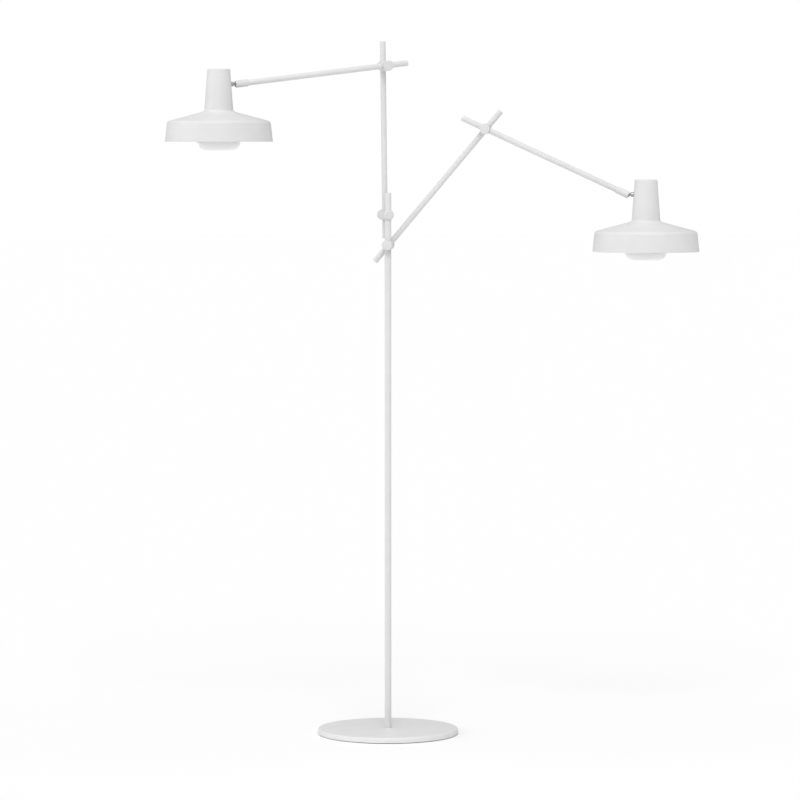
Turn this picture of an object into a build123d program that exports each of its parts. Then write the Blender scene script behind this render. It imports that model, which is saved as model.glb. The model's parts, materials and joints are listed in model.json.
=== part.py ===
from build123d import *
import math
import os

# Adjustable floor lamp with two arms on one pole.
# Millimetres. Origin at the centre of the base's underside, +Z up, +X to the right-hand arm, -Y to the front.
# Every joint of the arms is a round clamp in two halves that swivel on a hollow rivet.
# Each half holds one rod.

cut = 1.0  # how far a cutting body runs past the face that it opens

# base and pole
base_radius = 150.0
base_top = 12.5
pad_thickness = 1.5
pad_radius = 141.0
base_edge_round = 3.0
base_edge_chamfer = 0.8
clearance_hole = 0.2
pole_radius = 7.0
pole_bore = 5.5
pole_top = 1158.7
cap_thickness = 2.0
cap_round = 1.0
cap_plug = 12.0
foot_height = 40.0
foot_thread = 34.0
screw_radius = 4.0
screw_head_radius = 8.0
screw_head = 5.0
screw_head_chamfer = 1.0
screw_well = 6.5
screw_well_radius = 9.0
screw_length = 30.0
socket_radius = 3.0
socket_depth = 3.0

# rods and tubes
rod_radius = 6.0
rod_length = 418.0
arm_bore = 4.8
arm_length = 386.0
end_chamfer = 0.6

# clamps
clamp_radius = 11.0
running = 0.05
liner_wall = 0.55
pole_liner_wall = 0.75
liner_length = 17.2
clamp_chamfer = 2.0
rod_half_length = 17.0
rod_half_bore_at = 8.5
pole_half_length = 19.0
pole_half_bore_at = 9.75
knob_thickness = 10.0
knob_gap = 0.2
knob_chamfer = 0.9
knob_back_chamfer = 0.4
flute_count = 30
flute_radius = 0.8
flute_depth = 0.3
stud_radius = 3.0
rivet_shank = 3.0
rivet_head = 4.5
rivet_head_thickness = 0.8
rivet_bore = 1.65
pin_radius = 1.6
seat_gap = 0.02

# ball joint at the end of each arm
ball_radius = 6.2
sleeve_radius = 7.6
sleeve_nose_radius = 6.6
sleeve_back = 24.0
sleeve_front = 3.3
sleeve_nose = 2.0
sleeve_back_chamfer = 0.8
sleeve_bore = 6.3
lip_radius = 5.5
tube_stop = 10.0
cup_front = 1.5
cup_hole = 3.0
wire_bore = 1.5
stud_neck = 2.6
stud_collar = 5.0
collar_from = 7.4
collar_chamfer = 1.2
shank_spare = 0.5
ball_to_axis = 40.0

# shade, measured up from its rim
shade_wall = 1.5
rim_radius = 112.9
shoulder_radius = 108.2
shoulder_height = 42.8
neck_base_radius = 30.4
neck_base_height = 63.6
neck_top_radius = 23.8
shade_height = 152.0
shoulder_round = 8.0
neck_round = 6.0
top_round = 3.0
ball_height = 120.5

# opal diffuser, its ring and the lamp
diffuser_radius = 45.2
diffuser_wall = 3.0
diffuser_bottom = -18.0
diffuser_flat = 25.2
diffuser_round = 20.0
diffuser_top = 50.0
ring_wall = 2.2
ring_bottom = 36.0
holder_radius = 19.0
holder_bottom = 62.0
holder_top = 106.0
holder_cavity = 13.2
holder_cavity_depth = 26.0
nipple_radius = 5.0
nipple_length = 6.0
nipple_bore = 2.5
holder_round = 3.0
lamp_radius = 22.5
lamp_centre = 37.0
lamp_cap_radius = 13.0
lamp_cap_length = 24.0
bracket_thickness = 1.5
bracket_radius = 20.5
ear_width = 12.0
ear_face = 23.0
ear_top = 127.0
nut_thickness = 4.0
nut_radius = 6.6

# cable bushing in the tail of each arm
bushing_flange = 2.0
bushing_stem = 10.0
bushing_hole = 2.75

# The arms. Turn is the heading of the arm's plane seen from above, from +X, in degrees.
# Slopes are measured in that plane, up from the horizontal, pointing outwards.
arms = {
    "left": {
        "turn": 201.2,
        "back": -1.0,
        "collar_z": 1111.7,
        "knob_at_back": True,
        "rod_slope": 89.25,
        "rod_tail": 49.5,
        "elbow_at": 316.5,
        "arm_slope": -6.92,
        "arm_tail": 49.5,
    },
    "right": {
        "turn": -7.0,
        "back": 1.0,
        "collar_z": 1047.9,
        "knob_at_back": False,
        "rod_slope": 49.9,
        "rod_tail": 47.0,
        "elbow_at": 322.5,
        "arm_slope": -24.7,
        "arm_tail": 54.5,
    },
}

up = Vector(0, 0, 1)


def axle(start, direction, radius, length):
    """A round bar from start along direction."""
    place = Plane(origin=start, z_dir=direction)
    return place * Cylinder(radius, length, align=(Align.CENTER, Align.CENTER, Align.MIN))


def through(centre, direction, radius, length):
    """A round bar centred on a point."""
    return axle(centre - direction * (length / 2), direction, radius, length)


def ring(start, direction, outer, inner, length):
    """A tube from start along direction."""
    bore = axle(start - direction * cut, direction, inner, length + 2 * cut)
    return axle(start, direction, outer, length) - bore


def end_edges(shape, point, direction):
    """The circular edges of a shape that lie in the plane through a point, across a direction."""
    found = []
    for edge in shape.edges().filter_by(GeomType.CIRCLE):
        if abs((edge.arc_center - point).dot(direction)) < 0.01:
            found.append(edge)
    return found


def turned(points, place):
    """A solid of revolution about the Z axis of a place, from an outline of (radius, height) points."""
    outline = make_face(Polyline([(r, 0, z) for r, z in points], close=True))
    return place * revolve(outline, axis=Axis.Z)


def slope_vector(outward, degrees):
    """A direction in the arm's plane."""
    angle = math.radians(degrees)
    return outward * math.cos(angle) + up * math.sin(angle)


def save(name, shape):
    """Write one sub-part."""
    shape.label = name
    export_step(shape, f"parts/{name}.step")


# ---- stand ----

def base_disc():
    """Heavy steel disc with a rounded upper edge and a well for the screw head."""
    disc = axle(up * pad_thickness, up, base_radius, base_top - pad_thickness)
    disc = fillet(end_edges(disc, up * base_top, up), base_edge_round)
    disc = chamfer(end_edges(disc, up * pad_thickness, up), base_edge_chamfer)
    disc -= axle(Vector(0, 0, 0), up, screw_well_radius, pad_thickness + screw_well)
    return disc - axle(Vector(0, 0, 0), up, screw_radius + clearance_hole, base_top + cut)


def pole_cap():
    """Plug that closes the pole's top."""
    top = axle(up * (pole_top - cap_thickness), up, pole_radius, cap_thickness)
    top = fillet(end_edges(top, up * pole_top, up), cap_round)
    return top + axle(up * (pole_top - cap_thickness - cap_plug), up, pole_bore, cap_plug)


def pole_foot():
    """Threaded insert pressed into the pole's lower end."""
    insert = axle(up * base_top, up, pole_bore, foot_height)
    return insert - axle(up * (base_top - cut), up, screw_radius, foot_thread + cut)


def pole_screw():
    """Flanged screw from under the base into the pole's foot."""
    head_base = up * (pad_thickness + screw_well - screw_head)
    head = axle(head_base, up, screw_head_radius, screw_head)
    head = chamfer(end_edges(head, head_base, up), screw_head_chamfer)
    socket = Plane(origin=head_base, z_dir=up) * extrude(RegularPolygon(socket_radius, 6), socket_depth)
    return head - socket + axle(head_base + up * screw_head, up, screw_radius, screw_length)


save("base_disc", base_disc())
save("base_pad", axle(Vector(0, 0, 0), up, pad_radius, pad_thickness))
save("pole", ring(up * base_top, up, pole_radius, pole_bore, pole_top - cap_thickness - base_top))
save("pole_cap", pole_cap())
save("pole_foot", pole_foot())
save("pole_screw", pole_screw())


# ---- clamps ----

def clamp_half(centre, out, hole_way, hole_radius, hole_at, length, shape):
    """Half of a clamp: a drum along out, with a cross hole for a liner and a seat for the rivet's head."""
    drum = axle(centre + out * seat_gap, out, clamp_radius, length - seat_gap)
    if shape == "far":
        drum = chamfer(end_edges(drum, centre + out * length, out), clamp_chamfer)
    drum -= through(centre + out * hole_at, hole_way, hole_radius, 4 * clamp_radius)
    play = 0.0 if shape == "far" else running
    inner_wall = hole_at - hole_radius
    drum -= axle(centre - out * cut, out, rivet_shank + play, hole_at)
    seat = centre + out * (inner_wall - rivet_head_thickness)
    drum -= axle(seat, out, rivet_head + play, hole_radius)
    if shape == "knob":
        drum -= axle(centre + out * hole_at, out, stud_radius + running, length)
    return drum


def rivet(centre, out, wall_far, wall_near):
    """Hollow rivet that holds two halves together and lets them swivel."""
    far = centre - out * wall_far
    near = centre + out * (wall_near - rivet_head_thickness + seat_gap)
    body = axle(far, out, rivet_shank, wall_far + wall_near)
    body += axle(far, out, rivet_head, rivet_head_thickness)
    body += axle(near, out, rivet_head, rivet_head_thickness)
    return body - axle(far - out * cut, out, rivet_bore, wall_far + wall_near + 2 * cut)


def knob(centre, out, base_at, tip_at):
    """Tightening knob with its stud, which bears on the liner."""
    under = centre + out * (base_at + knob_gap)
    grip = axle(under, out, clamp_radius, knob_thickness)
    grip = chamfer(end_edges(grip, under, out), knob_back_chamfer)
    grip = chamfer(end_edges(grip, under + out * knob_thickness, out), knob_chamfer)
    place = Plane(origin=under - out * cut, z_dir=out)
    far_out = clamp_radius + flute_radius - flute_depth
    flutes = Sketch() + [spot * Circle(flute_radius) for spot in PolarLocations(far_out, flute_count)]
    grip -= place * extrude(flutes, knob_thickness + 2 * cut)
    tip = centre + out * (tip_at + seat_gap)
    return grip + axle(tip, out, stud_radius, base_at + knob_gap - tip_at)


def liner(centre, way, bore_radius, wall):
    """Plastic sleeve between a rod and its clamp."""
    inner = bore_radius + running
    return ring(centre - way * (liner_length / 2), way, inner + wall, inner, liner_length)


rod_hole = rod_radius + liner_wall + 2 * running
pole_hole = pole_radius + pole_liner_wall + 2 * running


def clamp_parts(name, centre, out, far, near):
    """All the pieces of one clamp. far and near say what each half holds, its direction and its name."""
    kinds = {
        "rod": (rod_radius, liner_wall, rod_hole, rod_half_bore_at, rod_half_length),
        "pole": (pole_radius, pole_liner_wall, pole_hole, pole_half_bore_at, pole_half_length),
    }
    pieces = {}
    walls = {}
    for side, held, way in (("far", far[0], far[1]), ("knob", near[0], near[1])):
        radius, wall, hole, hole_at, length = kinds[held]
        facing = out if side == "knob" else -out
        label = near[2] if side == "knob" else far[2]
        pieces[f"{label}_clamp"] = clamp_half(centre, facing, way, hole, hole_at, length, side)
        pieces[f"{label}_liner"] = liner(centre + facing * hole_at, way, radius, wall)
        walls[side] = hole_at - hole
    near_radius, near_wall, near_hole, near_at, near_length = kinds[near[0]]
    pieces[f"{name}_rivet"] = rivet(centre, out, walls["far"], walls["knob"])
    pin_start = centre - out * (walls["far"] + running - seat_gap)
    pin_length = walls["far"] + walls["knob"] + 2 * (running - seat_gap)
    pieces[f"{name}_push_pin"] = axle(pin_start, out, pin_radius, pin_length)
    pieces[f"{name}_knob"] = knob(centre, out, near_length, near_at + near_radius + near_wall + running)
    return pieces


# ---- arm end ----

def sleeve(ball, way):
    """Screwed sleeve that holds the ball in the end of the arm."""
    back = ball - way * sleeve_back
    body = axle(back, way, sleeve_radius, sleeve_back + sleeve_front)
    nose = end_edges(body, ball + way * sleeve_front, way)
    body = chamfer(nose, sleeve_radius - sleeve_nose_radius, sleeve_nose)
    body = chamfer(end_edges(body, back, way), sleeve_back_chamfer)
    body -= axle(back - way * cut, way, rod_radius, sleeve_back - tube_stop + cut)
    body -= axle(ball - way * tube_stop, way, sleeve_bore, tube_stop)
    body -= Pos(ball) * Sphere(ball_radius + running)
    return body - axle(ball, way, lip_radius, sleeve_front + cut)


def ball_cup(ball, way):
    """Plastic friction cup behind the ball."""
    seat = ball_radius + running
    outer = sleeve_bore - running
    seat_from = math.sqrt(seat ** 2 - cup_hole ** 2)
    middle = (cup_front + seat_from) / 2
    rim = math.sqrt(seat ** 2 - cup_front ** 2)
    walls = Polyline(
        (cup_hole, 0, -seat_from),
        (cup_hole, 0, running - tube_stop),
        (outer, 0, running - tube_stop),
        (outer, 0, -cup_front),
        (rim, 0, -cup_front),
    )
    seat_curve = ThreePointArc(
        (rim, 0, -cup_front), (math.sqrt(seat ** 2 - middle ** 2), 0, -middle), (cup_hole, 0, -seat_from)
    )
    return Plane(origin=ball, z_dir=way) * revolve(make_face(walls + seat_curve), axis=Axis.Z)


def ball_stud(ball, outward):
    """Hollow ball stud: ball, neck, collar against the shade, and threaded shank."""
    collar_to = ball_to_axis - neck_radius_at(ball_height - stud_collar) - running
    shank_to = ball_to_axis - ear_face + bracket_thickness + nut_thickness + shank_spare
    collar = axle(ball + outward * collar_from, outward, stud_collar, collar_to - collar_from)
    collar = chamfer(end_edges(collar, ball + outward * collar_from, outward), collar_chamfer)
    stud = Pos(ball) * Sphere(ball_radius) + axle(ball, outward, stud_neck, collar_from + cut) + collar
    stud += axle(ball + outward * collar_from, outward, screw_radius, shank_to - collar_from)
    return stud - axle(ball - outward * ball_radius, outward, wire_bore, ball_radius + shank_to + cut)


def stud_nut(shade_axis, outward):
    """Hexagon nut on the stud, inside the shade's neck."""
    face = shade_axis + up * ball_height - outward * (ear_face - bracket_thickness - running)
    place = Plane(origin=face, z_dir=outward)
    nut = place * extrude(RegularPolygon(nut_radius, 6), nut_thickness)
    return nut - axle(face - outward * cut, outward, screw_radius, nut_thickness + 2 * cut)


# ---- shade and lamp ----

def neck_radius_at(height):
    """Outer radius of the shade's tapering neck."""
    share = (height - neck_base_height) / (shade_height - neck_base_height)
    return neck_base_radius + share * (neck_top_radius - neck_base_radius)


def shade_region(inset):
    """Half section of the shade's outside, or of its inside when inset is the wall's thickness."""
    skirt = Vector(shoulder_radius - rim_radius, shoulder_height, 0).normalized()
    cone = Vector(neck_base_radius - shoulder_radius, neck_base_height - shoulder_height, 0).normalized()
    neck = Vector(neck_top_radius - neck_base_radius, shade_height - neck_base_height, 0).normalized()
    starts = [(rim_radius, 0.0), (shoulder_radius, shoulder_height), (neck_base_radius, neck_base_height)]
    lines = []
    for (r, z), way in zip(starts, (skirt, cone, neck)):
        lines.append((r - way.Y * inset, z + way.X * inset, way))
    corners = []
    for (r1, z1, a), (r2, z2, b) in zip(lines, lines[1:]):
        reach = ((r2 - r1) * b.Y - (z2 - z1) * b.X) / (a.X * b.Y - a.Y * b.X)
        corners.append((r1 + reach * a.X, z1 + reach * a.Y))
    r, z, way = lines[2]
    top = shade_height - inset
    top_corner = (r + way.X / way.Y * (top - z), top)
    rim_corner = (lines[0][0] - lines[0][2].X / lines[0][2].Y * lines[0][1], 0.0)
    points = [(0.0, 0.0), rim_corner, corners[0], corners[1], top_corner, (0.0, top)]
    face = make_face(Polyline([(x, 0, y) for x, y in points], close=True))
    rounds = (shoulder_round - inset, neck_round + inset, top_round - inset)
    for (x, y), radius in zip((corners[0], corners[1], top_corner), rounds):
        corner = face.vertices().sort_by_distance((x, 0, y))[0]
        face = fillet(corner, radius)
    return revolve(face, axis=Axis.Z)


def shade(place, outward):
    """Spun aluminium shade, open below, with a hole in its neck for the stud."""
    shell = shade_region(0.0) - shade_region(shade_wall)
    hole_start = place.origin + up * ball_height
    return place * shell - axle(hole_start, -outward, screw_radius + running, rim_radius)


def diffuser(place):
    """Opal bowl that hangs below the rim."""
    def bowl(inset, top):
        radius = diffuser_radius - inset
        bottom = diffuser_bottom + inset
        side_from = diffuser_bottom + diffuser_round
        middle = math.sqrt(0.5) * (diffuser_round - inset)
        base = Line((0, 0, bottom), (diffuser_flat, 0, bottom))
        arc = ThreePointArc(
            (diffuser_flat, 0, bottom),
            (diffuser_flat + middle, 0, side_from - middle),
            (radius, 0, side_from),
        )
        side = Polyline((radius, 0, side_from), (radius, 0, top), (0, 0, top), (0, 0, bottom))
        return revolve(make_face(base + arc + side), axis=Axis.Z)
    return place * (bowl(0.0, diffuser_top) - bowl(diffuser_wall, diffuser_top + cut))


def diffuser_ring(place):
    """Collar under the shade's shoulder that grips the diffuser."""
    outer = diffuser_radius + ring_wall
    slope = (neck_base_height - shoulder_height) / (shoulder_radius - neck_base_radius)
    drop = shade_wall * math.sqrt(1 + slope * slope)
    inner_top = neck_base_height - slope * (diffuser_radius - neck_base_radius) - drop
    outer_top = neck_base_height - slope * (outer - neck_base_radius) - drop
    outline = [
        (diffuser_radius, ring_bottom),
        (outer, ring_bottom),
        (outer, outer_top),
        (diffuser_radius, inner_top),
    ]
    return turned(outline, place)


def lamp_holder(place):
    """Lamp holder with the nipple that screws into its bracket."""
    body = axle(up * holder_bottom, up, holder_radius, holder_top - holder_bottom)
    body = fillet(end_edges(body, up * holder_top, up), holder_round)
    body += axle(up * holder_top, up, nipple_radius, nipple_length)
    body -= axle(up * (holder_bottom - cut), up, holder_cavity, holder_cavity_depth + cut)
    return place * (body - axle(up * holder_bottom, up, nipple_bore, holder_top))


def lamp(place):
    """Round lamp with its screw cap."""
    globe = Pos(0, 0, lamp_centre) * Sphere(lamp_radius)
    cap = axle(up * lamp_centre, up, lamp_cap_radius, holder_bottom - lamp_centre + lamp_cap_length)
    return place * (globe + cap)


def holder_bracket(place, outward):
    """Bracket that hangs the lamp holder from the stud."""
    plate = axle(up * holder_top, up, bracket_radius, bracket_thickness)
    inward = -outward
    tongue_place = Plane(origin=up * holder_top, x_dir=inward, z_dir=up)
    corner = (Align.MIN, Align.CENTER, Align.MIN)
    plate += tongue_place * Box(ear_face, ear_width, bracket_thickness, align=corner)
    ear_start = up * holder_top + inward * (ear_face - bracket_thickness)
    ear_place = Plane(origin=ear_start, x_dir=inward, z_dir=up)
    plate += ear_place * Box(bracket_thickness, ear_width, ear_top - holder_top, align=corner)
    plate -= axle(up * (holder_top - cut), up, nipple_radius, bracket_thickness + 2 * cut)
    plate -= axle(up * ball_height, inward, screw_radius + running, ear_face + cut)
    return place * plate


# ---- both arms ----

def build_arm(side, spec):
    """Every piece of one arm, and the points and directions that its joints use."""
    heading = math.radians(spec["turn"])
    outward = Vector(math.cos(heading), math.sin(heading), 0)
    back = up.cross(outward) * spec["back"]
    rod_way = slope_vector(outward, spec["rod_slope"])
    arm_way = slope_vector(outward, spec["arm_slope"])

    pole_point = up * spec["collar_z"]
    swivel = pole_point + back * pole_half_bore_at
    rod_pivot = swivel + back * rod_half_bore_at
    elbow_on_rod = rod_pivot + rod_way * spec["elbow_at"]
    elbow = elbow_on_rod - back * rod_half_bore_at
    arm_pivot = elbow - back * rod_half_bore_at
    ball = arm_pivot + arm_way * (arm_length - spec["arm_tail"])
    shade_axis = ball + outward * ball_to_axis - up * ball_height
    shade_place = Plane(origin=shade_axis, z_dir=up)
    tail_end = arm_pivot - arm_way * spec["arm_tail"]
    rod_end = rod_pivot - rod_way * spec["rod_tail"]

    pole_half = ("pole", up, "pole")
    rod_half = ("rod", rod_way, "rod")
    if spec["knob_at_back"]:
        collar = clamp_parts("collar", swivel, back, pole_half, rod_half)
    else:
        collar = clamp_parts("collar", swivel, -back, rod_half, pole_half)
    elbow_rod_half = ("rod", rod_way, "elbow_rod")
    elbow_arm_half = ("rod", arm_way, "elbow_arm")

    rod = axle(rod_end, rod_way, rod_radius, rod_length)
    rod = chamfer(rod.edges().filter_by(GeomType.CIRCLE), end_chamfer)
    tube_start = tail_end + arm_way * bushing_flange
    tube_length = arm_length - bushing_flange - tube_stop
    bushing = axle(tail_end, arm_way, rod_radius, bushing_flange)
    bushing = chamfer(end_edges(bushing, tail_end, arm_way), end_chamfer)
    bushing += axle(tube_start, arm_way, arm_bore, bushing_stem)
    bushing -= axle(tail_end - arm_way * cut, arm_way, bushing_hole, bushing_flange + bushing_stem + 2 * cut)

    pieces = {}
    pieces.update(collar)
    pieces.update(clamp_parts("elbow", elbow, -back, elbow_rod_half, elbow_arm_half))
    pieces["lower_rod"] = rod
    pieces["head_arm"] = ring(tube_start, arm_way, rod_radius, arm_bore, tube_length)
    pieces["cable_bushing"] = bushing
    pieces["ball_sleeve"] = sleeve(ball, arm_way)
    pieces["ball_cup"] = ball_cup(ball, arm_way)
    pieces["ball_stud"] = ball_stud(ball, outward)
    pieces["stud_nut"] = stud_nut(shade_axis, outward)
    pieces["shade"] = shade(shade_place, outward)
    pieces["diffuser"] = diffuser(shade_place)
    pieces["diffuser_ring"] = diffuser_ring(shade_place)
    pieces["lamp_holder"] = lamp_holder(shade_place)
    pieces["lamp"] = lamp(shade_place)
    pieces["holder_bracket"] = holder_bracket(shade_place, outward)
    for name, shape in pieces.items():
        save(f"{side}_{name}", shape)
    return {
        "outward": outward, "back": back, "rod_way": rod_way, "arm_way": arm_way,
        "pole_point": pole_point, "swivel": swivel, "rod_pivot": rod_pivot, "elbow_on_rod": elbow_on_rod,
        "elbow": elbow, "arm_pivot": arm_pivot, "ball": ball, "shade_axis": shade_axis, "tail_end": tail_end,
    }


layout = {side: build_arm(side, spec) for side, spec in arms.items()}
for side, places in layout.items():
    for name, place in places.items():
        print(f"{side} {name}: {place.X:.2f}, {place.Y:.2f}, {place.Z:.2f}")
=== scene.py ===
import json
import math

import bmesh
import bpy
import numpy as np
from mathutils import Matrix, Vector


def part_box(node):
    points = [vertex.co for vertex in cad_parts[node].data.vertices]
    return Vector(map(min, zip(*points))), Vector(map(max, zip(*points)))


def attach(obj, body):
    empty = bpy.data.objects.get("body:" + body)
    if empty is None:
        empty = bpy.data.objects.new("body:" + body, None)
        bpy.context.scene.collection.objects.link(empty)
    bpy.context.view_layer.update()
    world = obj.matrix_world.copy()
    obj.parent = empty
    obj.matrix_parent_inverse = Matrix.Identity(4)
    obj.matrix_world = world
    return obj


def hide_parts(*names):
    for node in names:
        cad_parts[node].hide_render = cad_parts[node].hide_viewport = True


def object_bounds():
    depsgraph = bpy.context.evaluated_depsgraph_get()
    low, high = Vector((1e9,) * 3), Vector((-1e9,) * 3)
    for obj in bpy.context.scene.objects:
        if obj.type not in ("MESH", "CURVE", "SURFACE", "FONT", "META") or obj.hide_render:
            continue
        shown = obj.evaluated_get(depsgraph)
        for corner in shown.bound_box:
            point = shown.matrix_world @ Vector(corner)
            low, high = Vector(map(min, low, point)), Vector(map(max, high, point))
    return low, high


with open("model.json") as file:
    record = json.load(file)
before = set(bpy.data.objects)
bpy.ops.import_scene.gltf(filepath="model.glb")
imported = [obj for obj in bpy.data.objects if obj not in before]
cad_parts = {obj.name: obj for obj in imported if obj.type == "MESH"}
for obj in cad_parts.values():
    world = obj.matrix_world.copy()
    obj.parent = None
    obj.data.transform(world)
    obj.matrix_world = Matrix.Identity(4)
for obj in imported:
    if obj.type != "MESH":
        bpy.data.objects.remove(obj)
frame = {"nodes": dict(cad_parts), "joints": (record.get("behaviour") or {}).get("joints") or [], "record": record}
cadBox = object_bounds()
record = frame["record"]
nodes = frame["nodes"]
joints = {joint["name"]: joint for joint in frame["joints"]}
bodyOf = {node: body for body, members in record["behaviour"]["bodies"].items() for node in members}
slotOf = {part["node"]: part["material_slot"] for part in record["subparts"]}
mm = 0.001
mergeDistance = 2e-6     # metres, below which two points are one

# ---- view, floor and light ----

view = {
    "distance": 8.42,      # from the pole to the camera
    "sideways": 0.0256,
    "height": 1.2661,
    "tiltDown": 3.73,      # degrees
    "lens": 177.9,
    "sensor": 36.0,
    "farEnd": 200.0,
}

studio = {
    "floorSize": 90.0,
    "floorCells": 24,
    "floorTone": (0.94, 0.94, 0.94),
    "floorRoughness": 0.9,
    "backdrop": 1.0,       # how bright the empty room looks
    "roomLight": 0.38,     # how much it lights the lamp
    # Power, then in degrees: width, where it comes from (anticlockwise from +X) and height above level.
    "softboxes": {
        "leftSoftbox": (0.92, 60.0, 184.0, 18.0),
        "frontSoftbox": (1.22, 28.0, 269.0, 43.0),
        "topSoftbox": (1.04, 60.0, 300.0, 74.0),
    },
}


def placeCamera():
    lens = bpy.data.cameras.new("viewCamera")
    lens.lens = view["lens"]
    lens.sensor_width = view["sensor"]
    lens.clip_end = view["farEnd"]
    camera = bpy.data.objects.new("viewCamera", lens)
    camera.location = (view["sideways"], -view["distance"], view["height"])
    camera.rotation_euler = (math.radians(90 - view["tiltDown"]), 0, 0)
    bpy.context.scene.collection.objects.link(camera)
    bpy.context.scene.camera = camera


def layFloor():
    # A level square grid of points at the lowest height of the lamp.
    half = studio["floorSize"] / 2
    line = np.linspace(-half, half, studio["floorCells"] + 1)
    x, y = np.meshgrid(line, line, indexing="ij")
    points = np.stack([x, y, np.full_like(x, cadBox[0][2])], axis=-1)
    floor = gridSurface("studioFloor", points, False, False)
    paint = bpy.data.materials.new("floorPaint")
    paint.use_nodes = True
    shader = paint.node_tree.nodes["Principled BSDF"]
    shader.inputs["Base Color"].default_value = (*studio["floorTone"], 1)
    shader.inputs["Roughness"].default_value = studio["floorRoughness"]
    shader.inputs["Specular IOR Level"].default_value = 0.0
    floor.data.materials.append(paint)


def lightStudio():
    scene = bpy.context.scene
    scene.view_settings.view_transform = "Standard"
    room = bpy.data.worlds.new("studioRoom")
    scene.world = room
    room.use_nodes = True
    tree = room.node_tree
    tree.nodes.clear()
    path = tree.nodes.new("ShaderNodeLightPath")
    seen = tree.nodes.new("ShaderNodeBackground")
    lit = tree.nodes.new("ShaderNodeBackground")
    mix = tree.nodes.new("ShaderNodeMixShader")
    out = tree.nodes.new("ShaderNodeOutputWorld")
    seen.inputs["Strength"].default_value = studio["backdrop"]
    seen.inputs["Color"].default_value = (1, 1, 1, 1)
    lit.inputs["Strength"].default_value = studio["roomLight"]
    lit.inputs["Color"].default_value = (1, 1, 1, 1)
    tree.links.new(path.outputs["Is Camera Ray"], mix.inputs[0])
    tree.links.new(lit.outputs[0], mix.inputs[1])
    tree.links.new(seen.outputs[0], mix.inputs[2])
    tree.links.new(mix.outputs[0], out.inputs[0])

    for name, (power, width, heading, height) in studio["softboxes"].items():
        light = bpy.data.lights.new(name, "SUN")
        light.energy = power
        light.angle = math.radians(width)
        softbox = bpy.data.objects.new(name, light)
        softbox.rotation_euler = (0, math.radians(90 - height), math.radians(heading))
        scene.collection.objects.link(softbox)


# ---- surfaces ----

def gridSurface(name, points, closedU, closedV):
    # A grid of points, u by v: each cell is one four-sided face. A closed direction joins its last row to its
    # first.
    rows, columns = points.shape[:2]
    u = np.arange(rows if closedU else rows - 1)
    v = np.arange(columns if closedV else columns - 1)
    a, b = np.meshgrid(u, v, indexing="ij")
    a2 = (a + 1) % rows
    b2 = (b + 1) % columns
    faces = np.stack([a * columns + b, a2 * columns + b, a2 * columns + b2, a * columns + b2], axis=-1)
    mesh = bpy.data.meshes.new(name)
    mesh.from_pydata(points.reshape(-1, 3).tolist(), [], faces.reshape(-1, 4).tolist())
    piece = bpy.data.objects.new(name, mesh)
    bpy.context.scene.collection.objects.link(piece)
    return piece


def cleanMesh(piece, smoothAngle=30.0):
    # Merges the doubled points of poles and seams, turns every face outwards and smooths below an angle.
    work = bmesh.new()
    work.from_mesh(piece.data)
    bmesh.ops.remove_doubles(work, verts=work.verts, dist=mergeDistance)
    bmesh.ops.recalc_face_normals(work, faces=work.faces)
    work.to_mesh(piece.data)
    work.free()
    piece.data.polygons.foreach_set("use_smooth", np.ones(len(piece.data.polygons), dtype=bool))
    piece.data.set_sharp_from_angle(angle=math.radians(smoothAngle))
    return piece


def unit(vector):
    vector = np.array(vector, float)
    return vector / np.linalg.norm(vector)


def crossWays(way, steep=0.9):
    # Two directions at right angles to a direction and to each other. A steep direction
    # is crossed with X in place of Z.
    side = np.array((0.0, 0.0, 1.0)) if abs(way[2]) < steep else np.array((1.0, 0.0, 0.0))
    first = unit(np.cross(side, way))
    return first, np.cross(way, first)


def roundedLine(corners, steps=5, closed=True):
    # An outline of (radius, height, rounding) corners. Each rounded corner becomes an arc that meets both
    # neighbouring sides as a tangent: it starts at rounding / tan(half the corner's angle) from the corner.
    spots = np.array([corner[:2] for corner in corners], float)
    rounds = [corner[2] for corner in corners]
    line = []
    for i, spot in enumerate(spots):
        ends = not closed and i in (0, len(spots) - 1)
        if rounds[i] == 0 or ends:
            line.append(spot[None, :])
            continue
        back = unit(spots[i - 1] - spot)
        ahead = unit(spots[(i + 1) % len(spots)] - spot)
        half = math.acos(np.clip(back @ ahead, -1, 1)) / 2
        hub = spot + unit(back + ahead) * rounds[i] / math.sin(half)
        start = spot + back * rounds[i] / math.tan(half) - hub
        sweep = math.pi - 2 * half
        turn = np.sign(back[0] * ahead[1] - back[1] * ahead[0])
        angle = np.linspace(0, -turn * sweep, steps + 1)
        x = np.cos(angle) * start[0] - np.sin(angle) * start[1]
        y = np.sin(angle) * start[0] + np.cos(angle) * start[1]
        line.append(hub + np.stack([x, y], axis=-1))
    return np.concatenate(line)


def turnedPoints(outline, origin, way, around):
    # A lathe: each outline point (radius, height) goes round the axis, origin + way * height
    # + radius * (first * cos(angle) + second * sin(angle)).
    first, second = crossWays(way)
    angle = np.linspace(0, 2 * math.pi, around, endpoint=False)
    ring = np.cos(angle)[:, None] * first + np.sin(angle)[:, None] * second
    radius = outline[:, 0][:, None, None]
    height = outline[:, 1][:, None, None]
    return np.array(origin) + height * way + radius * ring[None, :, :]


def turned(name, corners, origin, way, around=64, steps=5, closed=True):
    outline = roundedLine(corners, steps, closed) * mm
    points = turnedPoints(outline, origin, unit(way), around)
    return cleanMesh(gridSurface(name, points, closed, True))


def standIn(piece, node, finish):
    # The piece takes the node's place on its body, with the finish it is given.
    piece.data.materials.clear()
    piece.data.materials.append(finish)
    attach(piece, bodyOf[node])
    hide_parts(node)
    return piece


def nodePoints(node):
    mesh = nodes[node].data
    flat = np.zeros(len(mesh.vertices) * 3)
    mesh.vertices.foreach_get("co", flat)
    return flat.reshape(-1, 3)


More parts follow.
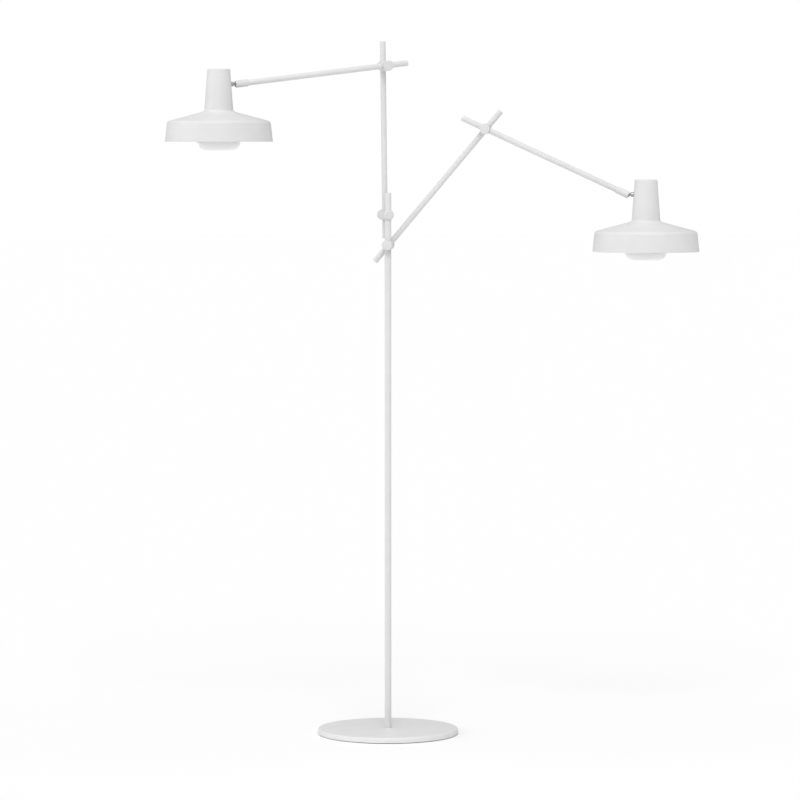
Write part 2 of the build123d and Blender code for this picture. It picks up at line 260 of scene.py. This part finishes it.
def along(node, origin, way):
    # Where a node starts and ends along a direction from a point, in millimetres.
    reach = (nodePoints(node) - np.array(origin)) @ unit(way) / mm
    return reach.min(), reach.max()


def girth(node, origin, way):
    # The largest distance of a node's points from an axis, in millimetres.
    offset = nodePoints(node) - np.array(origin)
    offset = offset - (offset @ unit(way))[:, None] * unit(way)
    return np.linalg.norm(offset, axis=1).max() / mm


def middle(node):
    low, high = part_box(node)
    return (np.array(low) + np.array(high)) / 2


# ---- finishes ----

def newFinish(name):
    finish = bpy.data.materials.new(name)
    finish.use_nodes = True
    return finish, finish.node_tree, finish.node_tree.nodes["Principled BSDF"]


def addNoise(tree, scale, detail=3.0, roughness=0.5, stretch=None, turn=None, centre=None):
    # Noise on Object coordinates, in features per metre. A stretch lengthens it along one turned direction.
    where = tree.nodes.new("ShaderNodeTexCoord")
    noise = tree.nodes.new("ShaderNodeTexNoise")
    noise.inputs["Scale"].default_value = scale
    noise.inputs["Detail"].default_value = detail
    noise.inputs["Roughness"].default_value = roughness
    if stretch is None:
        tree.links.new(where.outputs["Object"], noise.inputs["Vector"])
    else:
        place = tree.nodes.new("ShaderNodeMapping")
        place.vector_type = "TEXTURE"
        place.inputs["Location"].default_value = centre
        place.inputs["Rotation"].default_value = turn
        place.inputs["Scale"].default_value = stretch
        tree.links.new(where.outputs["Object"], place.inputs["Vector"])
        tree.links.new(place.outputs["Vector"], noise.inputs["Vector"])
    return noise.outputs["Fac"]


noiseSpan = (0.3, 0.7)     # where most of a noise's values lie


def addRange(tree, noise, low, high):
    # Spreads a noise between two values.
    spread = tree.nodes.new("ShaderNodeMapRange")
    spread.inputs["From Min"].default_value = noiseSpan[0]
    spread.inputs["From Max"].default_value = noiseSpan[1]
    spread.inputs["To Min"].default_value = low
    spread.inputs["To Max"].default_value = high
    tree.links.new(noise, spread.inputs["Value"])
    return spread.outputs["Result"]


def addTone(tree, noise, dark, light):
    # A colour that a noise moves between two tones.
    blend = tree.nodes.new("ShaderNodeMix")
    blend.data_type = "RGBA"
    blend.inputs["A"].default_value = (*dark, 1)
    blend.inputs["B"].default_value = (*light, 1)
    tree.links.new(addRange(tree, noise, 0, 1), blend.inputs["Factor"])
    return blend.outputs["Result"]


def addBump(tree, noise, height, below=None):
    bump = tree.nodes.new("ShaderNodeBump")
    bump.inputs["Distance"].default_value = height
    bump.inputs["Strength"].default_value = 1.0
    tree.links.new(noise, bump.inputs["Height"])
    if below is not None:
        tree.links.new(below, bump.inputs["Normal"])
    return bump.outputs["Normal"]


def dress(tree, shader, tone, rough, normal):
    tree.links.new(tone, shader.inputs["Base Color"])
    tree.links.new(rough, shader.inputs["Roughness"])
    tree.links.new(normal, shader.inputs["Normal"])


powder = {
    "dark": (0.682, 0.682, 0.682),
    "light": (0.708, 0.708, 0.706),
    "roughLow": 0.46,
    "roughHigh": 0.60,
    "specular": 0.40,
    "peelScale": 520.0,     # orange peel, per metre
    "peelDetail": 1.5,
    "peelHeight": 0.000014,
    "grainScale": 2400.0,
    "grainDetail": 2.0,
    "grainHeight": 0.000004,
    "cloudScale": 34.0,     # slow changes of tone
    "cloudDetail": 2.0,
}


def powderCoat(name, tint=1.0):
    finish, tree, shader = newFinish(name)
    cloud = addNoise(tree, powder["cloudScale"], powder["cloudDetail"])
    peel = addNoise(tree, powder["peelScale"], powder["peelDetail"])
    grain = addNoise(tree, powder["grainScale"], powder["grainDetail"])
    dark = [value * tint for value in powder["dark"]]
    light = [value * tint for value in powder["light"]]
    rough = addRange(tree, peel, powder["roughLow"], powder["roughHigh"])
    wave = addBump(tree, peel, powder["peelHeight"])
    skin = addBump(tree, grain, powder["grainHeight"], wave)
    dress(tree, shader, addTone(tree, cloud, dark, light), rough, skin)
    shader.inputs["Specular IOR Level"].default_value = powder["specular"]
    return finish


plasticLook = {
    "flowScale": 60.0,      # flow marks
    "flowDetail": 2.0,
    "sparkDetail": 4.0,     # texture of the mould
    "sparkRoughness": 0.65,
    "sparkHeight": 0.00003,
    "darkShare": 0.95,
    "glossier": 0.06,
    "duller": 0.08,
}


def mouldedPlastic(name, tone, rough, texture=900.0):
    # Fine sparked mould texture that changes the gloss a little, with flow marks in the tone.
    look = plasticLook
    finish, tree, shader = newFinish(name)
    flow = addNoise(tree, look["flowScale"], look["flowDetail"])
    spark = addNoise(tree, texture, look["sparkDetail"], look["sparkRoughness"])
    darker = [value * look["darkShare"] for value in tone]
    gloss = addRange(tree, spark, rough - look["glossier"], rough + look["duller"])
    dress(tree, shader, addTone(tree, flow, darker, tone), gloss, addBump(tree, spark, look["sparkHeight"]))
    return finish


metalLook = {
    "ringsPerMetre": 2600.0,
    "ringDetail": 2.0,
    "ringRoughness": 0.6,
    "ringStretch": (40, 40, 1),
    "ringHeight": 0.00001,
    "cloudScale": 240.0,
    "cloudDetail": 2.0,
    "darkShare": 0.86,
    "glossier": 0.08,
    "duller": 0.1,
}


def turnedMetal(name, tone, rough, centre, way):
    # Fine lathe rings: noise that is short along the axis of the piece and long across it.
    look = metalLook
    finish, tree, shader = newFinish(name)
    way = unit(way)
    pitch = math.acos(np.clip(way[2], -1, 1))
    heading = math.atan2(way[1], way[0])
    rings = addNoise(tree, look["ringsPerMetre"], look["ringDetail"], look["ringRoughness"],
                     look["ringStretch"], (0, pitch, heading), tuple(centre))
    cloud = addNoise(tree, look["cloudScale"], look["cloudDetail"])
    darker = [value * look["darkShare"] for value in tone]
    gloss = addRange(tree, rings, rough - look["glossier"], rough + look["duller"])
    dress(tree, shader, addTone(tree, cloud, darker, tone), gloss, addBump(tree, rings, look["ringHeight"]))
    shader.inputs["Metallic"].default_value = 1.0
    return finish


glassLook = {
    "dark": (0.90, 0.90, 0.895),
    "light": (0.93, 0.93, 0.925),
    "cloudScale": 28.0,
    "cloudDetail": 2.0,
    "etchScale": 1500.0,
    "etchDetail": 3.0,
    "etchHeight": 0.000008,
    "roughLow": 0.26,
    "roughHigh": 0.38,
    "milk": 0.45,
    "milkDepth": (0.010, 0.010, 0.009),
    "skin": 0.25,
    "skinRoughness": 0.22,
}


def opalGlass(name):
    # Flashed opal glass, acid etched: milky body that scatters light and a soft satin face.
    look = glassLook
    finish, tree, shader = newFinish(name)
    etch = addNoise(tree, look["etchScale"], look["etchDetail"])
    cloud = addNoise(tree, look["cloudScale"], look["cloudDetail"])
    gloss = addRange(tree, etch, look["roughLow"], look["roughHigh"])
    tone = addTone(tree, cloud, look["dark"], look["light"])
    dress(tree, shader, tone, gloss, addBump(tree, etch, look["etchHeight"]))
    shader.inputs["Subsurface Weight"].default_value = look["milk"]
    shader.inputs["Subsurface Radius"].default_value = look["milkDepth"]
    shader.inputs["Subsurface Scale"].default_value = 1.0
    shader.inputs["Coat Weight"].default_value = look["skin"]
    shader.inputs["Coat Roughness"].default_value = look["skinRoughness"]
    return finish


rubberLook = {
    "dark": (0.50, 0.50, 0.49),
    "light": (0.58, 0.58, 0.57),
    "bloomScale": 90.0,
    "bloomDetail": 3.0,
    "skinScale": 1600.0,
    "skinDetail": 4.0,
    "skinRoughness": 0.7,
    "skinHeight": 0.00004,
    "roughLow": 0.72,
    "roughHigh": 0.9,
    "specular": 0.3,
}


def mattRubber(name):
    look = rubberLook
    finish, tree, shader = newFinish(name)
    bloom = addNoise(tree, look["bloomScale"], look["bloomDetail"])
    skin = addNoise(tree, look["skinScale"], look["skinDetail"], look["skinRoughness"])
    gloss = addRange(tree, skin, look["roughLow"], look["roughHigh"])
    tone = addTone(tree, bloom, look["dark"], look["light"])
    dress(tree, shader, tone, gloss, addBump(tree, skin, look["skinHeight"]))
    shader.inputs["Specular IOR Level"].default_value = look["specular"]
    return finish


coat = powderCoat("powderCoatWhite")
coatSpun = powderCoat("powderCoatSpun", 1.02)
# The base's coat is the same white made 6% lighter: painted light, standing in for the brighter light that falls
# on the base's top.
paintedLightBaseCoat = powderCoat("powderCoatBasePaintedLight", 1.06)
whitePlastic = mouldedPlastic("whitePlastic", (0.77, 0.77, 0.765), 0.45)
holderPlastic = mouldedPlastic("holderPlastic", (0.74, 0.74, 0.72), 0.4, 700.0)
linerPlastic = mouldedPlastic("linerPlastic", (0.66, 0.65, 0.62), 0.42)
opal = opalGlass("opalGlass")
rubber = mattRubber("padRubber")
print("finishes ready")


# ---- stand ----

# Each entry that ends in Steps holds the points round the piece and the steps in each rounded corner.
standSizes = {
    "edgeRound": 3.0,
    "footChamfer": 0.8,
    "wellRadius": 9.0,
    "wellTop": 8.0,
    "wellRound": 0.3,
    "screwHole": 4.2,
    "discSteps": (240, 8),
    "padRound": 0.5,
    "padGrooves": 5,
    "grooveDepth": 0.5,
    "grooveWidth": 4.0,
    "grooveEdge": 0.2,
    "grooveRound": 0.1,
    "padSteps": (160, 3),
    "poleBore": 5.5,
    "poleFootRound": 0.2,
    "poleTopRound": 0.15,
    "poleSteps": (72, 3),
    "capRound": 1.0,
    "capEdge": 0.15,
    "capPlug": 12.0,
    "capHead": 2.0,
    "plugRound": 0.6,
    "capSteps": (72, 6),
}


def makeStand():
    sizes = standSizes
    origin, up = (0, 0, 0), (0, 0, 1)
    low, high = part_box("base_disc")
    radius = (high[0] - low[0]) / 2 / mm
    bottom, top = low[2] / mm, high[2] / mm
    disc = [
        (sizes["screwHole"], top, 0),
        (radius, top, sizes["edgeRound"]),
        (radius, bottom, sizes["footChamfer"]),
        (sizes["wellRadius"], bottom, sizes["wellRound"]),
        (sizes["wellRadius"], sizes["wellTop"], sizes["wellRound"]),
        (sizes["screwHole"], sizes["wellTop"], 0),
    ]
    # The disc takes the lighter copy of the coat, which is painted light on the base.
    standIn(turned("baseDiscPainted", disc, origin, up, *sizes["discSteps"]), "base_disc", paintedLightBaseCoat)

    low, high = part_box("base_pad")
    outer = (high[0] - low[0]) / 2 / mm
    pad = [(0, bottom, 0), (outer, bottom, 0), (outer, 0, sizes["padRound"])]
    edge = sizes["grooveWidth"] / 2
    depth = sizes["grooveDepth"]
    for gap in np.linspace(outer, 0, sizes["padGrooves"] + 2)[1:-1]:
        pad += [
            (gap + edge, 0, sizes["grooveEdge"]),
            (gap + edge - depth, depth, sizes["grooveRound"]),
            (gap - edge + depth, depth, sizes["grooveRound"]),
            (gap - edge, 0, sizes["grooveEdge"]),
        ]
    pad.append((0, 0, 0))
    standIn(turned("basePadRibbed", pad, origin, up, *sizes["padSteps"], False), "base_pad", rubber)

    low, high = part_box("pole")
    start, end = low[2] / mm, high[2] / mm
    radius = (high[0] - low[0]) / 2 / mm
    bore = sizes["poleBore"]
    tube = [
        (radius, start, sizes["poleFootRound"]),
        (radius, end, sizes["poleTopRound"]),
        (bore, end, sizes["poleTopRound"]),
        (bore, start, sizes["poleFootRound"]),
    ]
    standIn(turned("poleTube", tube, origin, up, *sizes["poleSteps"]), "pole", coat)

    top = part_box("pole_cap")[1][2] / mm
    rim = top - sizes["capHead"]
    plug = rim - sizes["capPlug"]
    cap = [
        (0, top, 0),
        (radius, top, sizes["capRound"]),
        (radius, rim, sizes["capEdge"]),
        (bore, rim, 0),
        (bore, plug, sizes["plugRound"]),
        (0, plug, 0),
    ]
    standIn(turned("poleCapPlug", cap, origin, up, *sizes["capSteps"], False), "pole_cap", whitePlastic)


# ---- rods, arm tubes and their ends ----

armSizes = {
    "endRound": 0.7,
    "rodSteps": (64, 5),
    "tubeBore": 4.8,
    "tubeRound": 0.15,
    "tubeBoreRound": 0.1,
    "tubeSteps": (64, 3),
    "bushingHole": 2.75,
    "bushingFlange": 2.0,
    "bushingSeat": 0.1,
    "bushingRound": 0.5,
    "bushingInnerRound": 0.3,
    "bushingSteps": (64, 4),
    "sleeveNoseRadius": 6.6,
    "sleeveNose": 2.0,
    "sleeveNoseRound": 0.6,
    "sleeveShoulder": 0.8,
    "sleeveLip": 5.5,
    "sleeveLipRound": 0.3,
    "sleeveBore": 6.3,
    "sleeveStop": 10.0,
    "sleeveEdge": 0.7,
    "sleeveFoot": 0.2,
    "sleeveSteps": (72, 4),
    "socket": 6.25,
    "socketHeights": 8,
}

studSizes = {
    "ball": 6.2,
    "ballHeights": 26,
    "neck": 2.6,
    "neckRound": 0.5,
    "collar": 5.0,
    "collarFrom": 7.4,
    "collarChamfer": 1.2,
    "chamferStart": 0.3,
    "chamferEnd": 0.4,
    "collarRound": 0.2,
    "shank": 4.0,
    "threadPitch": 1.0,
    "threadDepth": 0.35,
    "pointsPerPitch": 8,
    "wireBore": 1.5,
    "cornerSteps": 4,
    "around": 56,
    "smoothAngle": 40.0,
    "tone": (0.47, 0.47, 0.48),
    "roughness": 0.38,
}


def makeArm(side):
    sizes = armSizes
    armWay = np.array(joints[f"{side}_arm_slide"]["axis"])
    rodWay = np.array(joints[f"{side}_rod_slide"]["axis"])
    outward = np.array(joints[f"{side}_head_roll"]["axis"])
    ball = np.array(joints[f"{side}_head_turn"]["pos_m"])

    node = f"{side}_lower_rod"
    centre = middle(node)
    start, end = along(node, centre, rodWay)
    radius = girth(node, centre, rodWay)
    rod = [(0, start, 0), (radius, start, sizes["endRound"]), (radius, end, sizes["endRound"]), (0, end, 0)]
    standIn(turned(f"{side}LowerRod", rod, centre, rodWay, *sizes["rodSteps"], False), node, coat)

    node = f"{side}_head_arm"
    start, end = along(node, ball, armWay)
    radius = girth(node, ball, armWay)
    bore = sizes["tubeBore"]
    tube = [
        (radius, start, sizes["tubeRound"]),
        (radius, end, sizes["tubeRound"]),
        (bore, end, sizes["tubeBoreRound"]),
        (bore, start, sizes["tubeBoreRound"]),
    ]
    standIn(turned(f"{side}HeadTube", tube, ball, armWay, *sizes["tubeSteps"]), node, coat)

    node = f"{side}_cable_bushing"
    start, end = along(node, ball, armWay)
    hole = sizes["bushingHole"]
    flange = start + sizes["bushingFlange"]
    bushing = [
        (hole, start, sizes["bushingRound"]),
        (radius, start, sizes["endRound"]),
        (radius, flange, sizes["bushingSeat"]),
        (bore, flange, 0),
        (bore, end, sizes["bushingRound"]),
        (hole, end, sizes["bushingInnerRound"]),
    ]
    standIn(turned(f"{side}CableBushing", bushing, ball, armWay, *sizes["bushingSteps"]), node, whitePlastic)

    # The sleeve's inside follows the ball: radius = square root of (socket squared - height squared).
    node = f"{side}_ball_sleeve"
    start, end = along(node, ball, armWay)
    outer = girth(node, ball, armWay)
    lipHeight = math.sqrt(sizes["socket"] ** 2 - sizes["sleeveLip"] ** 2)
    heights = np.linspace(lipHeight, 0, sizes["socketHeights"])
    socket = [(math.sqrt(sizes["socket"] ** 2 - height ** 2), height, 0) for height in heights]
    sleeve = [
        (sizes["sleeveLip"], end, sizes["sleeveLipRound"]),
        (sizes["sleeveNoseRadius"], end, sizes["sleeveNoseRound"]),
        (outer, end - sizes["sleeveNose"], sizes["sleeveShoulder"]),
        (outer, start, sizes["sleeveEdge"]),
        (radius, start, sizes["sleeveFoot"]),
        (radius, -sizes["sleeveStop"], 0),
        (sizes["sleeveBore"], -sizes["sleeveStop"], 0),
        (sizes["sleeveBore"], 0, 0),
    ] + socket[::-1]
    standIn(turned(f"{side}BallSleeve", sleeve, ball, armWay, *sizes["sleeveSteps"]), node, coat)

    makeStud(side, ball, outward)


def makeStud(side, ball, outward):
    # A ball, a waist and a collar turned on one axis, then a threaded shank, whose radius falls and rises once
    # per pitch along its length. The collar ends on the shade's neck.
    sizes = studSizes
    node = f"{side}_ball_stud"
    end = along(node, ball, outward)[1]
    shadeAxis = middle(f"{side}_shade")
    collarTo = np.linalg.norm((shadeAxis - ball)[:2]) / mm - girthAt(f"{side}_shade", ball)
    neckStart = math.sqrt(sizes["ball"] ** 2 - sizes["neck"] ** 2)
    boreStart = -math.sqrt(sizes["ball"] ** 2 - sizes["wireBore"] ** 2)
    lowest, highest = math.asin(boreStart / sizes["ball"]), math.asin(neckStart / sizes["ball"])
    heights = sizes["ball"] * np.sin(np.linspace(lowest, highest, sizes["ballHeights"]))
    outline = [(math.sqrt(sizes["ball"] ** 2 - height ** 2), height) for height in heights]
    waist = [
        (sizes["neck"], neckStart, 0),
        (sizes["neck"], sizes["collarFrom"], sizes["neckRound"]),
        (sizes["collar"] - sizes["collarChamfer"], sizes["collarFrom"], sizes["chamferStart"]),
        (sizes["collar"], sizes["collarFrom"] + sizes["collarChamfer"], sizes["chamferEnd"]),
        (sizes["collar"], collarTo, sizes["collarRound"]),
        (sizes["shank"], collarTo, 0),
    ]
    outline += roundedLine(waist, sizes["cornerSteps"], False).tolist()[1:]
    count = int((end - collarTo) / sizes["threadPitch"] * sizes["pointsPerPitch"])
    reach = np.linspace(collarTo, end, count)[1:]
    wave = 0.5 - 0.5 * np.cos(2 * math.pi * (reach - collarTo) / sizes["threadPitch"])
    outline += np.stack([sizes["shank"] - sizes["threadDepth"] * wave, reach], axis=-1).tolist()
    outline.append((sizes["wireBore"], end))
    points = turnedPoints(np.array(outline) * mm, ball, unit(outward), sizes["around"])
    stud = cleanMesh(gridSurface(f"{side}BallStud", points, True, True), sizes["smoothAngle"])
    metal = turnedMetal(f"{side}SatinSteel", sizes["tone"], sizes["roughness"], ball, outward)
    standIn(stud, node, metal)


def girthAt(node, ball):
    # A shade's outer radius at the height of the ball, on the straight line from the neck's foot to its top.
    points = nodePoints(node)
    radius = np.linalg.norm((points - middle(node))[:, :2], axis=1) / mm
    above = (points[:, 2] - ball[2]) / mm
    foot, head = (above < 0) & (above > -shadeSizes["neckStraight"]), above > 0
    lowest, highest = radius[foot].argmax(), radius[head].argmax()
    levels = [above[foot][lowest], above[head][highest]]
    return np.interp(0, levels, [radius[foot][lowest], radius[head][highest]])


# ---- clamps and knobs ----

clampSizes = {
    "knobThickness": 10.0,
    "knobRound": 0.9,
    "knobBackRound": 0.4,
    "knobSteps": 5,
    "knobSmooth": 38.0,
    "stud": 3.0,
    "studTipRound": 0.3,
    "studFootRound": 0.2,
    "flutes": 30,
    "pointsPerFlute": 10,
    "fluteDepth": 0.55,
    "fluteSharpness": 5.0,
    "fadeStart": 2.5,         # inwards from the rim: no flute, then a share of its depth, then all of it
    "fadeMiddle": 1.2,
    "fadeShare": 0.75,
    "flatAngle": 0.5,
    "softEdge": 0.28,
    "softSteps": 3,
    "creaseAngle": 32.0,
}


def makeKnob(side, place):
    # A lathe outline with its rim pulled in at each flute: the flute's depth follows
    # (half of 1 + cos(flutes * angle)) to a power, and fades out over the rounded edges.
    sizes = clampSizes
    joint = joints[f"{side}_{place}_knob_turn"]
    node = f"{side}_{place}_knob"
    origin, way = np.array(joint["pos_m"]), unit(joint["axis"])
    tip, top = along(node, origin, way)
    radius = girth(node, origin, way)
    under = top - sizes["knobThickness"]
    corners = [
        (0, tip, 0),
        (sizes["stud"], tip, sizes["studTipRound"]),
        (sizes["stud"], under, sizes["studFootRound"]),
        (radius, under, sizes["knobBackRound"]),
        (radius, top, sizes["knobRound"]),
        (0, top, 0),
    ]
    outline = roundedLine(corners, sizes["knobSteps"], False)
    fade = [radius - sizes["fadeStart"], radius - sizes["fadeMiddle"], radius]
    reach = np.interp(outline[:, 0], fade, [0, sizes["fadeShare"], 1])
    around = sizes["flutes"] * sizes["pointsPerFlute"]
    points = turnedPoints(outline * mm, origin, way, around)
    angle = np.linspace(0, 2 * math.pi, around, endpoint=False)
    wave = (0.5 + 0.5 * np.cos(sizes["flutes"] * angle)) ** sizes["fluteSharpness"]
    axisPoints = origin + (outline[:, 1] * mm)[:, None] * way
    inward = axisPoints[:, None, :] - points
    size = np.linalg.norm(inward, axis=2, keepdims=True)
    pull = (reach[:, None] * wave[None, :] * sizes["fluteDepth"] * mm)[:, :, None]
    # The small number keeps points on the axis, which have no way inwards, from a division by zero.
    points = points + inward / np.maximum(size, 1e-9) * pull
    knob = gridSurface(f"{side}{place.capitalize()}Knob", points, False, True)
    standIn(cleanMesh(knob, sizes["knobSmooth"]), node, coat)


def softenClamp(node):
    # The drum keeps its cut shape and gets a small rounding on every edge, where the paint flows round it.
    sizes = clampSizes
    mesh = nodes[node].data.copy()
    side, *words = node.split("_")
    piece = bpy.data.objects.new(side + "".join(word.capitalize() for word in words) + "Drum", mesh)
    bpy.context.scene.collection.objects.link(piece)
    work = bmesh.new()
    work.from_mesh(mesh)
    bmesh.ops.remove_doubles(work, verts=work.verts, dist=mergeDistance)
    flat = math.radians(sizes["flatAngle"])
    bmesh.ops.dissolve_limit(work, angle_limit=flat, verts=work.verts, edges=work.edges)
    work.to_mesh(mesh)
    work.free()
    mesh.polygons.foreach_set("use_smooth", np.ones(len(mesh.polygons), dtype=bool))
    edge = piece.modifiers.new("paintedEdge", "BEVEL")
    edge.width = sizes["softEdge"] * mm
    edge.segments = sizes["softSteps"]
    edge.limit_method = "ANGLE"
    edge.angle_limit = math.radians(sizes["creaseAngle"])
    edge.harden_normals = True
    standIn(piece, node, coat)


def makeClamps(side):
    for place in ("collar", "elbow"):
        makeKnob(side, place)
    for part in ("pole_clamp", "rod_clamp", "elbow_rod_clamp", "elbow_arm_clamp"):
        softenClamp(f"{side}_{part}")


# ---- shades, diffusers and lamps ----

shadeSizes = {
    "wall": 1.5,
    "shoulderRadius": 108.2,
    "shoulderHeight": 42.8,
    "neckBaseRadius": 30.4,
    "neckBaseHeight": 63.6,
    "neckTopRadius": 23.8,
    "neckStraight": 45.0,     # straight side below the ball
    "shoulderRound": 8.0,
    "neckRound": 6.0,
    "topRound": 3.0,
    "rimRound": 0.6,
    "steps": (224, 10),
}

diffuserSizes = {
    "radius": 45.2,
    "wall": 3.0,
    "bottomRound": 20.0,
    "lipRound": 1.2,
    "bowlSteps": (128, 14),
    "ringFoot": 0.4,
    "ringOuterFoot": 0.5,
    "ringTop": 0.1,
    "ringSteps": (128, 4),
}


def insetLine(outside, depth):
    # The same outline moved inwards by the wall: every side moves along its own normal, and neighbouring
    # sides are met again. The open end stays level with the rim.
    spots = np.array(outside)
    ways = np.diff(spots, axis=0)
    ways = ways / np.linalg.norm(ways, axis=1)[:, None]
    starts = spots[:-1] + np.stack([-ways[:, 1], ways[:, 0]], axis=-1) * depth
    moved = []
    rim = starts[0] + ways[0] * (spots[0, 1] - starts[0, 1]) / ways[0, 1]
    moved.append(tuple(rim))
    for i in range(len(ways) - 1):
        cross = ways[i, 0] * ways[i + 1, 1] - ways[i, 1] * ways[i + 1, 0]
        gap = starts[i + 1] - starts[i]
        reach = (gap[0] * ways[i + 1, 1] - gap[1] * ways[i + 1, 0]) / cross
        moved.append(tuple(starts[i] + ways[i] * reach))
    moved.append((0.0, starts[-1, 1]))
    return moved


def makeHead(side):
    sizes = shadeSizes
    up = (0, 0, 1)
    low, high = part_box(f"{side}_shade")
    rimRadius = (high[0] - low[0]) / 2 / mm
    height = (high[2] - low[2]) / mm
    centre = ((low[0] + high[0]) / 2, (low[1] + high[1]) / 2, low[2])
    wall = sizes["wall"]

    outside = [
        (rimRadius, 0.0),
        (sizes["shoulderRadius"], sizes["shoulderHeight"]),
        (sizes["neckBaseRadius"], sizes["neckBaseHeight"]),
        (sizes["neckTopRadius"], height),
        (0.0, height),
    ]
    inside = insetLine(outside, wall)
    rounds = [sizes["rimRound"], sizes["shoulderRound"], sizes["neckRound"], sizes["topRound"], 0]
    innerRounds = [sizes["rimRound"], sizes["shoulderRound"] - wall, sizes["neckRound"] + wall,
                   sizes["topRound"] - wall, 0]
    corners = [(*spot, bend) for spot, bend in zip(outside, rounds)][::-1]
    corners += [(*spot, bend) for spot, bend in zip(inside, innerRounds)]
    shell = turned(f"{side}ShadeSpun", corners, centre, up, *sizes["steps"], False)
    standIn(shell, f"{side}_shade", coatSpun)

    sizes = diffuserSizes
    node = f"{side}_diffuser"
    bottom, top = along(node, centre, up)
    radius, wall, bend = sizes["radius"], sizes["wall"], sizes["bottomRound"]
    lip = sizes["lipRound"]
    bowl = [
        (0, bottom, 0),
        (radius, bottom, bend),
        (radius, top, lip),
        (radius - wall, top, lip),
        (radius - wall, bottom + wall, bend - wall),
        (0, bottom + wall, 0),
    ]
    standIn(turned(f"{side}OpalBowl", bowl, centre, up, *sizes["bowlSteps"], False), node, opal)

    # The ring's top follows the slope of the shade above it.
    node = f"{side}_diffuser_ring"
    bottom, top = along(node, centre, up)
    outer = girth(node, centre, up)
    rise = shadeSizes["neckBaseHeight"] - shadeSizes["shoulderHeight"]
    slope = rise / (shadeSizes["shoulderRadius"] - shadeSizes["neckBaseRadius"])
    outerTop = top - slope * (outer - radius)
    collar = [
        (radius, bottom, sizes["ringFoot"]),
        (outer, bottom, sizes["ringOuterFoot"]),
        (outer, outerTop, sizes["ringTop"]),
        (radius, top, sizes["ringTop"]),
    ]
    standIn(turned(f"{side}DiffuserRing", collar, centre, up, *sizes["ringSteps"]), node, coatSpun)


# ---- building ----

placeCamera()
layFloor()
lightStudio()
print("camera, floor and light in place")

makeStand()
print("stand made")
for side in ("left", "right"):
    makeArm(side)
    makeClamps(side)
    makeHead(side)
    print(side, "arm made")

steel = turnedMetal("platedSteel", (0.60, 0.60, 0.60), 0.34, (0, 0, 0), (0, 0, 1))
brass = turnedMetal("pinBrass", (0.72, 0.55, 0.28), 0.34, (0, 0, 0), (0, 0, 1))
plain = {
    "white_steel": coat,
    "white_aluminium": coat,
    "white_plastic": whitePlastic,
    "holder_plastic": holderPlastic,
    "liner_plastic": linerPlastic,
    "opal_glass": opal,
    "lamp_glass": opal,
    "pad_rubber": rubber,
    "plated_steel": steel,
    "satin_steel": steel,
    "pin_brass": brass,
}
for node, piece in nodes.items():
    if piece.hide_render:
        continue
    piece.data.materials.clear()
    piece.data.materials.append(plain[slotOf[node]])
print("kept nodes finished")
